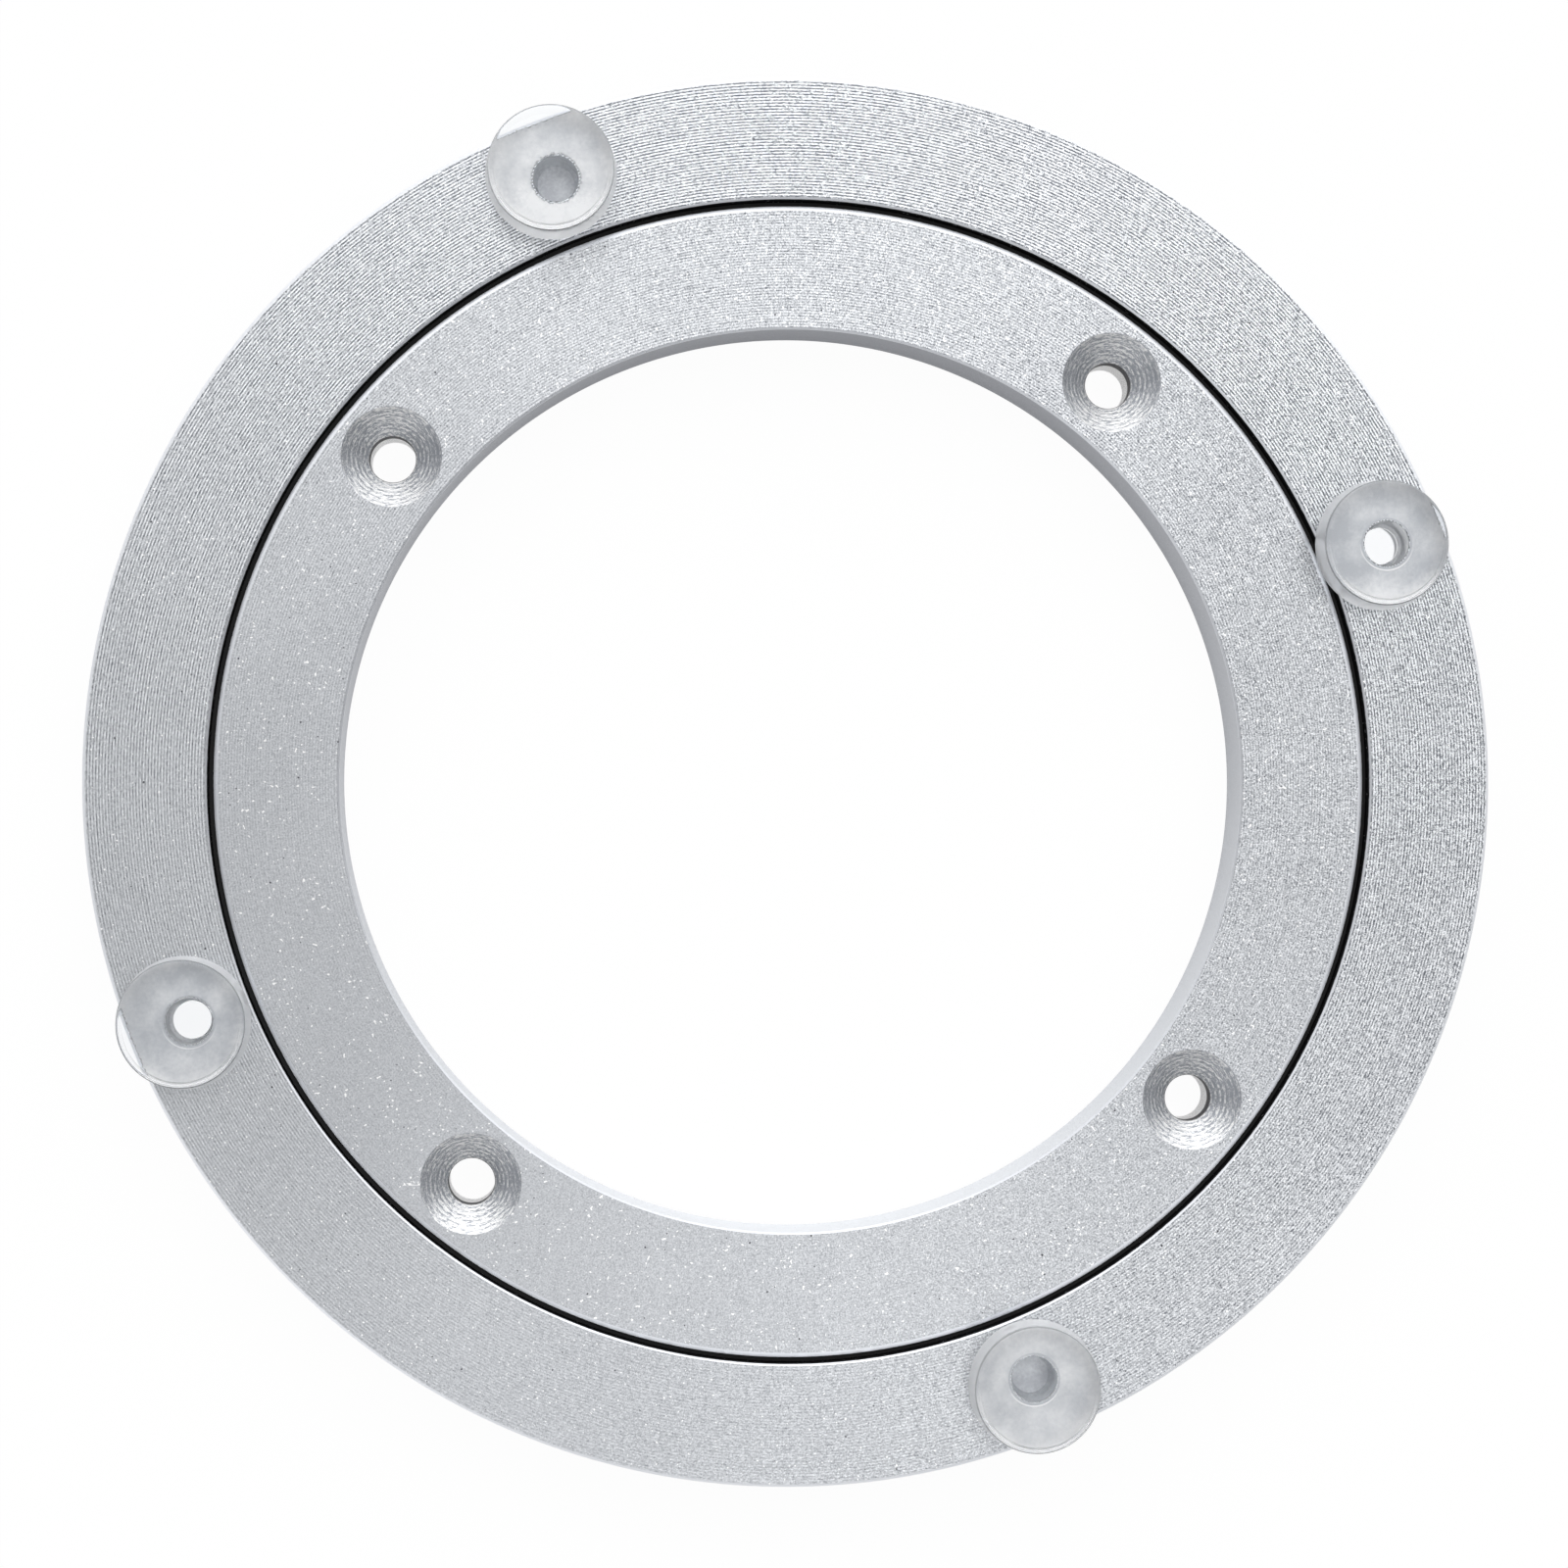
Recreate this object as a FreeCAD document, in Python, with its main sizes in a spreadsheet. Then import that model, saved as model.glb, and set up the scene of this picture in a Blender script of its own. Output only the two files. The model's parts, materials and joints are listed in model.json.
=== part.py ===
import FreeCAD, Part
import os
import Sketcher

# Turntable bearing: two flat turned rings that run on one row of caged balls.
# The origin is the centre of the inner ring's underside, +Z up, in millimetres and degrees.

# Driving dimensions: name, value, what it measures
DIMENSIONS = [
    ("bore_dia", 90.0, "open centre of the inner ring"),
    ("inner_ring_width", 12.3, "inner ring from its bore to the slot"),
    ("slot_width", 0.6, "open slot between the two rings"),
    ("outer_ring_width", 12.1, "outer ring from the slot to its rim"),
    ("ring_thickness", 7.7, "thickness of each ring"),
    ("face_step", 0.8, "how far the outer ring stands above the inner ring"),
    ("edge_chamfer", 0.3, "broken edges at the rim and at the slot"),
    ("bore_chamfer", 0.2, "broken edges of the open centre"),
    ("ball_dia", 4.0, "diameter of a ball"),
    ("ball_count", 36, "number of balls"),
    ("race_clearance", 0.1, "between a ball and its races"),
    ("cage_clearance", 0.1, "between the cage band and each ring"),
    ("cage_web", 0.55, "band left above and below a ball's window"),
    ("window_clearance", 0.15, "between a ball and the edge of its window"),
    ("screw_count", 4, "number of screw holes"),
    ("screw_angle", 45.0, "angle of the first screw hole from +X"),
    ("screw_hole_dia", 4.6, "drilled hole for a screw"),
    ("countersink_dia", 10.0, "mouth of a countersink"),
    ("countersink_angle", 90.0, "full angle of a countersink"),
    ("rest_angle", 60.44, "angle of the loading port from +X at rest"),
    ("port_clearance", 0.5, "between a ball and the loading port that it goes in through"),
    ("plug_clearance", 0.05, "between the plug and its port, all round"),
    ("plug_gap", 0.1, "between the plug's inner end and the race"),
    ("plug_recess", 0.6, "how far the plug lies below the rim"),
    ("plug_chamfer", 0.4, "cone at the plug's inner end"),
    ("socket_flats", 2.5, "key socket in the plug, across its flats"),
    ("socket_depth", 2.2, "depth of the key socket"),
    ("pad_count", 4, "number of bumper pads"),
    ("pad_base_dia", 13.3, "pad where it sits on the ring"),
    ("pad_taper", 0.3, "how far the pad's side leans in from its base to its top"),
    ("pad_height", 3.5, "pad above the ring's face"),
    ("pad_round", 0.7, "rounding of the pad's top edge"),
    ("pad_hole_dia", 4.6, "hole that holds a pad's stem"),
    ("stem_clearance", 0.05, "between a stem and its hole, all round"),
    ("stem_length", 4.8, "length of a pad's stem"),
    ("stem_gap", 0.4, "below a stem in a hole that doesn't go through"),
    ("stem_chamfer", 0.4, "lead-in at the end of a stem"),
]

# Radii and heights that follow from the driving dimensions
BORE_RADIUS = "sizes.bore_dia / 2"
INNER_RING_RADIUS = f"({BORE_RADIUS} + sizes.inner_ring_width)"
OUTER_RING_RADIUS = f"({INNER_RING_RADIUS} + sizes.slot_width)"
RIM_RADIUS = f"({OUTER_RING_RADIUS} + sizes.outer_ring_width)"
RACE_RADIUS = f"({INNER_RING_RADIUS} + sizes.slot_width / 2)"
SCREW_CIRCLE_RADIUS = f"({BORE_RADIUS} + sizes.inner_ring_width / 2)"
PAD_CIRCLE_RADIUS = f"({OUTER_RING_RADIUS} + sizes.outer_ring_width / 2)"
OUTER_TOP = "(sizes.face_step + sizes.ring_thickness)"
RACE_LEVEL = f"({OUTER_TOP} / 2)"

# Sizes of the race, the cage and the port, which follow the ball
GROOVE_RADIUS = "(sizes.ball_dia / 2 + sizes.race_clearance)"
WINDOW_RADIUS = "(sizes.ball_dia / 2 + sizes.window_clearance)"
CAGE_INSIDE = f"({INNER_RING_RADIUS} + sizes.cage_clearance)"
CAGE_OUTSIDE = f"({OUTER_RING_RADIUS} - sizes.cage_clearance)"
CAGE_HALF_WIDTH = f"({WINDOW_RADIUS} + sizes.cage_web)"
PORT_RADIUS = "(sizes.ball_dia / 2 + sizes.port_clearance)"
PLUG_START = f"({RACE_RADIUS} + {GROOVE_RADIUS} + sizes.plug_gap)"
PLUG_LENGTH = f"({RIM_RADIUS} - sizes.plug_recess - {PLUG_START})"

# Sizes of the pads
PAD_STEP = "(360 / sizes.pad_count)"
PAD_HOLE_DEPTH = "sizes.stem_length + sizes.stem_gap"

# Two lengths closer than this are the same
SAME = 1e-6
UPRIGHT = FreeCAD.Vector(0, 0, 1)

doc = FreeCAD.newDocument("turntable_bearing")
sheet = doc.addObject("Spreadsheet::Sheet", "sizes")


def fill_sheet():
    """One row for each driving dimension: its name, its value and what it measures."""
    for row, (name, value, meaning) in enumerate(DIMENSIONS, start=1):
        sheet.set(f"A{row}", name)
        sheet.set(f"B{row}", str(value))
        sheet.set(f"C{row}", meaning)
        sheet.setAlias(f"B{row}", name)
    doc.recompute()


def value_of(expression):
    """The number that an expression on the sheet gives."""
    return float(sheet.evalExpression(expression))


def bind(target, **expressions):
    """Ties properties of an object to expressions on the sheet."""
    for name, expression in expressions.items():
        target.setExpression(name.replace("__", "."), expression)


def new_body(name):
    body = doc.addObject("PartDesign::Body", name)
    body.Label = name
    return body


def origin_feature(body, role):
    return next(part for part in body.Origin.OriginFeatures if part.Role == role)


def new_sketch(body, name, plane, offset="0"):
    """A sketch on one of the body's own planes, moved along the plane's normal."""
    sketch = body.newObject("Sketcher::SketchObject", name)
    sketch.AttachmentSupport = (origin_feature(body, plane), [""])
    sketch.MapMode = "FlatFace"
    bind(sketch, AttachmentOffset__Base__z=offset)
    return sketch


def pin_down(sketch, geometry, point, across, up):
    """Holds a point of a sketch at two expressions, measured from the sketch's origin."""
    for kind, expression in (("DistanceX", across), ("DistanceY", up)):
        axis = -2 if kind == "DistanceX" else -1
        if expression == "0":
            sketch.addConstraint(Sketcher.Constraint("PointOnObject", geometry, point, axis))
            continue
        start = value_of(expression)
        index = sketch.addConstraint(Sketcher.Constraint(kind, -1, 1, geometry, point, start))
        sketch.setExpression(f"Constraints[{index}]", expression)


def draw_outline(sketch, corners):
    """A closed outline of straight lines whose corners are pairs of expressions."""
    spots = [FreeCAD.Vector(value_of(x), value_of(y), 0) for x, y in corners]
    for spot, following in zip(spots, spots[1:] + spots[:1]):
        sketch.addGeometry(Part.LineSegment(spot, following), False)
    for index in range(len(corners)):
        following = (index + 1) % len(corners)
        sketch.addConstraint(Sketcher.Constraint("Coincident", index, 2, following, 1))
    for index, (x, y) in enumerate(corners):
        pin_down(sketch, index, 1, x, y)


def draw_circle(sketch, across, up, radius):
    """A circle whose centre and radius are expressions."""
    centre = FreeCAD.Vector(value_of(across), value_of(up), 0)
    circle = sketch.addGeometry(Part.Circle(centre, UPRIGHT, value_of(radius)), False)
    pin_down(sketch, circle, 3, across, up)
    index = sketch.addConstraint(Sketcher.Constraint("Radius", circle, value_of(radius)))
    sketch.setExpression(f"Constraints[{index}]", radius)


def revolve(body, name, sketch, kind="PartDesign::Revolution"):
    """Turns a section about the upright axis of its sketch."""
    turned = body.newObject(kind, name)
    turned.Profile = sketch
    turned.ReferenceAxis = (sketch, ["V_Axis"])
    turned.Angle = 360
    sketch.Visibility = False
    doc.recompute()
    return turned


def pocket(body, name, sketch, depth=None, reverse=False):
    """Cuts along the normal of a sketch, right through where no depth is given."""
    before = body.Tip.Shape.Volume
    cut = body.newObject("PartDesign::Pocket", name)
    cut.Profile = sketch
    cut.Reversed = reverse
    cut.Type = "Length" if depth else "ThroughAll"
    if depth:
        bind(cut, Length=depth)
    sketch.Visibility = False
    doc.recompute()
    if cut.Shape.Volume >= before:
        raise RuntimeError(f"{name} cuts nothing from {body.Label}")
    return cut


def repeat_round(body, name, feature, count):
    """Repeats a feature evenly about the upright axis."""
    pattern = body.newObject("PartDesign::PolarPattern", name)
    pattern.Originals = [feature]
    pattern.Axis = (origin_feature(body, "Z_Axis"), [""])
    pattern.Angle = 360
    bind(pattern, Occurrences=count)
    body.Tip = pattern
    doc.recompute()
    return pattern


def round_edges(shape, radius, levels):
    """Names of the circular edges of one radius that lie at the given heights."""
    found = []
    for number, edge in enumerate(shape.Edges, start=1):
        if not isinstance(edge.Curve, Part.Circle):
            continue
        same_radius = abs(edge.Curve.Radius - radius) < SAME
        level = edge.Curve.Center.z
        if same_radius and any(abs(level - wanted) < SAME for wanted in levels):
            found.append(f"Edge{number}")
    return found


def dress(body, name, kind, size, radii, levels):
    """A chamfer or fillet on the circular edges of the given radii and heights."""
    base = body.Tip
    heights = [value_of(level) for level in levels]
    edges = []
    for radius in radii:
        edges += round_edges(base.Shape, value_of(radius), heights)
    dressed = body.newObject(kind, name)
    dressed.Base = (base, edges)
    bind(dressed, **{"Radius" if kind.endswith("Fillet") else "Size": size})
    doc.recompute()
    return dressed


def ring_blank(body, inside, outside, low, high):
    """The turned blank of a ring with a square section."""
    section = new_sketch(body, body.Label + "_section", "XZ_Plane")
    draw_outline(section, [(inside, low), (outside, low), (outside, high), (inside, high)])
    return revolve(body, body.Label + "_blank", section)


def cut_race(body):
    """The round groove that the balls run in."""
    section = new_sketch(body, body.Label + "_race_section", "XZ_Plane")
    draw_circle(section, RACE_RADIUS, RACE_LEVEL, GROOVE_RADIUS)
    return revolve(body, body.Label + "_race", section, "PartDesign::Groove")


def make_inner_ring():
    body = new_body("inner_ring")
    faces = ["0", "sizes.ring_thickness"]
    ring_blank(body, BORE_RADIUS, INNER_RING_RADIUS, *faces)
    dress(body, "slot_edges", "PartDesign::Chamfer", "sizes.edge_chamfer", [INNER_RING_RADIUS], faces)
    dress(body, "bore_edges", "PartDesign::Chamfer", "sizes.bore_chamfer", [BORE_RADIUS], faces)
    cut_race(body)
    place = new_sketch(body, "screw_hole_place", "XY_Plane", "sizes.ring_thickness")
    across = f"{SCREW_CIRCLE_RADIUS} * cos(sizes.screw_angle)"
    up = f"{SCREW_CIRCLE_RADIUS} * sin(sizes.screw_angle)"
    draw_circle(place, across, up, "sizes.screw_hole_dia / 2")
    doc.recompute()
    hole = body.newObject("PartDesign::Hole", "screw_hole")
    hole.Profile = place
    hole.ThreadType = "None"
    hole.DepthType = "ThroughAll"
    hole.HoleCutType = "Countersink"
    hole.HoleCutCustomValues = True
    bind(hole, Diameter="sizes.screw_hole_dia", HoleCutDiameter="sizes.countersink_dia")
    bind(hole, HoleCutCountersinkAngle="sizes.countersink_angle")
    place.Visibility = False
    doc.recompute()
    repeat_round(body, "screw_holes", hole, "sizes.screw_count")
    return body


def pad_hole(body, name, turn, depth=None):
    """A hole for a pad's stem, drilled from the top face at an angle from the port."""
    place = new_sketch(body, name + "_place", "XY_Plane", OUTER_TOP)
    across = f"{PAD_CIRCLE_RADIUS} * cos({turn})"
    up = f"{PAD_CIRCLE_RADIUS} * sin({turn})"
    draw_circle(place, across, up, "sizes.pad_hole_dia / 2")
    hole = pocket(body, name, place, depth)
    repeat_round(body, name + "s", hole, "sizes.pad_count / 2")


def make_outer_ring():
    """The ring in its own frame has its loading port on +X; its placement turns it."""
    body = new_body("outer_ring")
    faces = ["sizes.face_step", OUTER_TOP]
    ring_blank(body, OUTER_RING_RADIUS, RIM_RADIUS, *faces)
    radii = [OUTER_RING_RADIUS, RIM_RADIUS]
    dress(body, "ring_edges", "PartDesign::Chamfer", "sizes.edge_chamfer", radii, faces)
    cut_race(body)
    mouth = new_sketch(body, "port_place", "YZ_Plane", RACE_RADIUS)
    draw_circle(mouth, "0", RACE_LEVEL, PORT_RADIUS)
    pocket(body, "loading_port", mouth, reverse=True)
    pad_hole(body, "through_hole", f"-{PAD_STEP} / 2")
    pad_hole(body, "blind_hole", f"{PAD_STEP} / 2", PAD_HOLE_DEPTH)
    turn_about_axis(body, "sizes.rest_angle")
    return body


def turn_about_axis(body, angle):
    """Turns a whole piece about the bearing's axis."""
    turned = FreeCAD.Rotation(UPRIGHT, value_of(angle))
    body.Placement = FreeCAD.Placement(FreeCAD.Vector(0, 0, 0), turned)
    bind(body, Placement__Rotation__Angle=angle)


def make_cage():
    """A thin band that drops into the slot and keeps the balls apart in round windows."""
    body = new_body("ball_cage")
    low = f"{RACE_LEVEL} - {CAGE_HALF_WIDTH}"
    high = f"{RACE_LEVEL} + {CAGE_HALF_WIDTH}"
    ring_blank(body, CAGE_INSIDE, CAGE_OUTSIDE, low, high)
    place = new_sketch(body, "window_place", "YZ_Plane", f"{CAGE_INSIDE} - {WINDOW_RADIUS}")
    draw_circle(place, "0", RACE_LEVEL, WINDOW_RADIUS)
    window = pocket(body, "window", place, reverse=True)
    repeat_round(body, "windows", window, "sizes.ball_count")
    return body


def make_balls():
    """One ball in each window of the cage."""
    balls = []
    for number in range(int(value_of("sizes.ball_count"))):
        name = f"ball_{number + 1:02d}"
        ball = doc.addObject("Part::Sphere", name)
        ball.Label = name
        angle = f"({number} * 360 / sizes.ball_count)"
        bind(ball, Radius="sizes.ball_dia / 2", Placement__Base__z=RACE_LEVEL)
        bind(ball, Placement__Base__x=f"{RACE_RADIUS} * cos({angle})")
        bind(ball, Placement__Base__y=f"{RACE_RADIUS} * sin({angle})")
        balls.append(ball)
    doc.recompute()
    return balls


def draw_hexagon(sketch, level, flats):
    """A six-sided outline about a point on the sketch's upright axis."""
    sides = 6
    centre = FreeCAD.Vector(0, value_of(level), 0)
    reach = f"{flats} / 2 / cos(180 / {sides})"
    spoke = FreeCAD.Vector(value_of(reach), 0, 0)
    turns = [FreeCAD.Rotation(UPRIGHT, 360 * side / sides) for side in range(sides)]
    corners = [centre + turn.multVec(spoke) for turn in turns]
    for corner, following in zip(corners, corners[1:] + corners[:1]):
        sketch.addGeometry(Part.LineSegment(corner, following), False)
    guide = sketch.addGeometry(Part.Circle(centre, UPRIGHT, spoke.Length), True)
    for side in range(sides):
        sketch.addConstraint(Sketcher.Constraint("Coincident", side, 2, (side + 1) % sides, 1))
        sketch.addConstraint(Sketcher.Constraint("PointOnObject", side, 1, guide))
    for side in range(1, sides):
        sketch.addConstraint(Sketcher.Constraint("Equal", 0, side))
    sketch.addConstraint(Sketcher.Constraint("Horizontal", 1))
    pin_down(sketch, guide, 3, "0", level)
    index = sketch.addConstraint(Sketcher.Constraint("Radius", guide, spoke.Length))
    sketch.setExpression(f"Constraints[{index}]", reach)


def make_plug():
    """The plug that closes the loading port just behind the race."""
    body = new_body("loading_plug")
    place = new_sketch(body, "plug_place", "YZ_Plane", PLUG_START)
    draw_circle(place, "0", RACE_LEVEL, f"{PORT_RADIUS} - sizes.plug_clearance")
    barrel = body.newObject("PartDesign::Pad", "plug_barrel")
    barrel.Profile = place
    bind(barrel, Length=PLUG_LENGTH)
    place.Visibility = False
    doc.recompute()
    point = body.newObject("PartDesign::Chamfer", "plug_point")
    point.Base = (barrel, end_edges(barrel.Shape, value_of(PLUG_START)))
    bind(point, Size="sizes.plug_chamfer")
    doc.recompute()
    mouth = new_sketch(body, "socket_place", "YZ_Plane", f"{PLUG_START} + {PLUG_LENGTH}")
    draw_hexagon(mouth, RACE_LEVEL, "sizes.socket_flats")
    pocket(body, "key_socket", mouth, "sizes.socket_depth")
    turn_about_axis(body, "sizes.rest_angle")
    return body


def end_edges(shape, reach):
    """Names of the circular edges that lie at one distance along +X."""
    return [
        f"Edge{number}"
        for number, edge in enumerate(shape.Edges, start=1)
        if isinstance(edge.Curve, Part.Circle) and abs(edge.Curve.Center.x - reach) < SAME
    ]


def make_pad(number):
    """A soft clear pad: a low cone with a rounded edge on a stem that sits in the ring."""
    body = new_body(f"bumper_pad_{number}")
    stem = "(sizes.pad_hole_dia / 2 - sizes.stem_clearance)"
    base = "sizes.pad_base_dia / 2"
    top = "(sizes.pad_base_dia / 2 - sizes.pad_taper)"
    height = "sizes.pad_height"
    end = "-sizes.stem_length"
    section = new_sketch(body, f"pad_section_{number}", "XZ_Plane")
    corners = [("0", end), (stem, end), (stem, "0"), (base, "0"), (top, height), ("0", height)]
    draw_outline(section, corners)
    revolve(body, f"pad_blank_{number}", section)
    dress(body, f"pad_edge_{number}", "PartDesign::Fillet", "sizes.pad_round", [top], [height])
    dress(body, f"stem_end_{number}", "PartDesign::Chamfer", "sizes.stem_chamfer", [stem], [end])
    angle = f"(sizes.rest_angle + ({number} - 1.5) * {PAD_STEP})"
    bind(body, Placement__Base__x=f"{PAD_CIRCLE_RADIUS} * cos({angle})")
    bind(body, Placement__Base__y=f"{PAD_CIRCLE_RADIUS} * sin({angle})")
    bind(body, Placement__Base__z=OUTER_TOP)
    doc.recompute()
    return body


def check_document():
    """Stops if any object failed to build."""
    for item in doc.Objects:
        if "Invalid" in item.State or "Error" in item.State:
            raise RuntimeError(f"{item.Label} failed: {item.State}")


def write_pieces(pieces):
    """Writes each piece that is one valid solid to its own file."""
    for piece in pieces:
        shape = piece.Shape
        if shape.isNull() or not shape.isValid() or len(shape.Solids) != 1:
            raise RuntimeError(f"{piece.Label} is not one valid solid")
    os.makedirs("parts", exist_ok=True)
    for piece in pieces:
        piece.Shape.exportStep(f"parts/{piece.Label}.step")


fill_sheet()
pieces = [make_inner_ring(), make_outer_ring(), make_cage(), make_plug()]
pieces += make_balls()
pieces += [make_pad(number + 1) for number in range(int(value_of("sizes.pad_count")))]
doc.recompute()
check_document()
write_pieces(pieces)
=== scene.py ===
import json
import math
import random
from dataclasses import dataclass

import bpy
from mathutils import Matrix, Vector

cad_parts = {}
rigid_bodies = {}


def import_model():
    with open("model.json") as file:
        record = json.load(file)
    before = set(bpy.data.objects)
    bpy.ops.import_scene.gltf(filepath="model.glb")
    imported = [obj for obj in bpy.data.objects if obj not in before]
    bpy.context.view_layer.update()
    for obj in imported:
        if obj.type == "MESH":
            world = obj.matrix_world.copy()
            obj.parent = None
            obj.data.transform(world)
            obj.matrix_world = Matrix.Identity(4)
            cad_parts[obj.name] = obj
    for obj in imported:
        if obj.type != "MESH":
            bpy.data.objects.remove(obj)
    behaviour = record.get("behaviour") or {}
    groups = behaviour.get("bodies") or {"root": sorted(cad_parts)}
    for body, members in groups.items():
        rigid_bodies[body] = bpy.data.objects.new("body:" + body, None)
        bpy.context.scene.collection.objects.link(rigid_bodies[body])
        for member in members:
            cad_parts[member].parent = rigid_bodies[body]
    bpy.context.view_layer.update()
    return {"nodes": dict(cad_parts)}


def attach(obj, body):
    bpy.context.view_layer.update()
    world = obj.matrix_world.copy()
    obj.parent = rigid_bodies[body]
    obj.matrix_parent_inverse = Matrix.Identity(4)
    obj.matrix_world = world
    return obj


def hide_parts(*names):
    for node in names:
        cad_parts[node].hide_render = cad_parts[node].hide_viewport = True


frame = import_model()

MM = 0.001

# Turned sizes in millimetres
BORE_R = 45.0
INNER_R = 57.3
OUTER_R = 57.9
RIM_R = 70.0
INNER_TOP = 7.7
OUTER_LOW = 0.8
OUTER_TOP = 8.5
EDGE = 0.3
SLOT_EDGE = 0.18
INNER_EDGE = 0.45
INNER_EDGE_DROP = 0.20
BORE_EDGE = 0.2
RACE_R = 57.6
RACE_Z = 4.25
GROOVE_R = 2.1

# A point midway along each ring's underside, as a radius, and one midway up its wall, as a height
OUTER_MIDDLE = (64.0, 4.6)
INNER_MIDDLE = (51.0, 3.8)

# Fineness of the meshes
TURN_STEPS = 360
ARC_STEPS = 14
SHARP_ANGLE = 30
WELD_DISTANCE = 1e-7

# Tool lines on the faces
OUTER_PITCH = 0.30
INNER_PITCH = 0.281
OUTER_DEPTH = 0.003
INNER_DEPTH = 0.007
LEAST_CUT = 0.55

# Screw holes
SCREW_CIRCLE = 51.15
SCREW_FIRST = 45.0
SCREW_HOLE_R = 2.3
SINK_R = 5.0
SINK_PITCH = 0.44
SINK_RIPPLE = 0.013
SINK_ARC_PITCH = 0.40
# Heights in the screw holes: below the first the wall is painted black as shade, and below the second painted
# white as light
SINK_PAINTED_SHADE_BELOW = 5.0
SINK_PAINTED_LIGHT_BELOW = 3.3
SCRATCH_MIDDLE = (-41.94, -35.53)

# Pads and their holes
PORT_ANGLE = 60.44
PAD_CIRCLE = 63.95
PAD_HOLE_R = 2.3
PAD_HOLE_DEPTH = 5.2
DRILL_TIP = 0.9
PAD_BASE_R = 6.55
PAD_TOP_R = 6.2
PAD_HEIGHT = 3.5
PAD_ROUND = 0.38
PAD_FOOT = 0.12
PAD_LIFT = 0.02
PAD_SLIP = ((-0.48, -0.10), (-0.48, 0.67), (-0.58, -0.19), (0.10, -0.77))
STEM_R = 2.25
STEM_LENGTH = 4.8
STEM_TAPER = 0.4
STEM_FILLET = 0.15
SOFT_FROM_R = 2.6

# Loading plug
PORT_R = 2.5
PORT_FLARE = 0.7
PLUG_START = 59.8
PLUG_END = 69.4
PLUG_R = 2.45
THREAD_DEPTH = 0.32
THREAD_PITCH = 0.6
SOCKET_FLATS = 2.5
SOCKET_DEPTH = 2.2

# Camera, with places in millimetres and angles in degrees
CAMERA_SPOT = (-22.4, -4.5, 340.0)
CAMERA_AIM = (-1.04, -0.31, 7.7)
IMAGE_UP = 83.67
IMAGE_FOV = 26.37
SENSOR = 36


class Wire:
    """One socket of a node tree. Sums written on it add Math nodes."""

    def __init__(self, tree, socket):
        self.tree = tree
        self.socket = socket

    def math(self, operation, *values):
        sockets = dict(enumerate(values))
        return self.tree.add("ShaderNodeMath", {"operation": operation}, sockets)

    def other(self, name):
        """Another output of the same node."""
        return Wire(self.tree, self.socket.node.outputs[name])

    def __add__(self, value):
        return self.math("ADD", self, value)

    def __sub__(self, value):
        return self.math("SUBTRACT", self, value)

    def __rsub__(self, value):
        return self.math("SUBTRACT", value, self)

    def __mul__(self, value):
        return self.math("MULTIPLY", self, value)

    def __truediv__(self, value):
        return self.math("DIVIDE", self, value)

    def __pow__(self, value):
        return self.math("POWER", self, value)

    def sqrt(self):
        return self.math("SQRT", self)

    def sin(self):
        return self.math("SINE", self)

    def cos(self):
        return self.math("COSINE", self)

    def abs(self):
        return self.math("ABSOLUTE", self)

    def sign(self):
        return self.math("SIGN", self)

    def floor(self):
        return self.math("FLOOR", self)

    def most(self, value):
        return self.math("MAXIMUM", self, value)

    def least(self, value):
        return self.math("MINIMUM", self, value)

    def step(self, low, high):
        """From 0 at low to 1 at high, with soft ends."""
        sockets = {"Value": self, "From Min": low, "From Max": high}
        return self.tree.add("ShaderNodeMapRange", {"interpolation_type": "SMOOTHSTEP"}, sockets)

    def rises(self, low, high):
        """From 0 at low to 1 at high, in millimetres."""
        return self.step(low * MM, high * MM)

    def falls(self, low, high):
        """From 1 at low to 0 at high, in millimetres."""
        return 1 - self.rises(low, high)

    __radd__ = __add__
    __rmul__ = __mul__


class Tree:
    """A node tree that one method fills."""

    def __init__(self, node_tree):
        self.nodes = node_tree.nodes
        self.links = node_tree.links

    def add(self, kind, settings=None, inputs=None, out=0):
        node = self.nodes.new(kind)
        for name, value in (settings or {}).items():
            setattr(node, name, value)
        for name, value in (inputs or {}).items():
            if isinstance(value, Wire):
                self.links.new(value.socket, node.inputs[name])
            else:
                node.inputs[name].default_value = value
        return Wire(self, node.outputs[out]) if len(node.outputs) else None

    def vector(self, x, y, z):
        return self.add("ShaderNodeCombineXYZ", None, {0: x, 1: y, 2: z})

    def mix(self, factor, first, second):
        """A colour between two colours."""
        return self.add("ShaderNodeMix", {"data_type": "RGBA"}, {0: factor, 6: first, 7: second}, 2)


# Plain meshes

def new_object(name, mesh):
    thing = bpy.data.objects.new(name, mesh)
    bpy.context.scene.collection.objects.link(thing)
    return thing


def points_object(name, points):
    """An object that only holds the points of a section, given in millimetres."""
    mesh = bpy.data.meshes.new(name)
    mesh.from_pydata([(r * MM, 0, z * MM) for r, z in points], [], [])
    return new_object(name, mesh)


def enclosed_volume(mesh):
    mesh.calc_loop_triangles()
    spots = [vertex.co for vertex in mesh.vertices]
    total = 0.0
    for triangle in mesh.loop_triangles:
        a, b, c = (spots[index] for index in triangle.vertices)
        total += a.dot(b.cross(c))
    return total / 6


def settle(name, thing):
    """Turns an object with modifiers into a plain mesh with outward faces."""
    graph = bpy.context.evaluated_depsgraph_get()
    mesh = bpy.data.meshes.new_from_object(thing.evaluated_get(graph))
    bpy.data.objects.remove(thing)
    mesh.name = name
    if enclosed_volume(mesh) < 0:
        mesh.flip_normals()
    mesh.shade_smooth()
    mesh.set_sharp_from_angle(angle=math.radians(SHARP_ANGLE))
    return new_object(name, mesh)


# Geometry trees

ROUNDING = 0.0001


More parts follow.
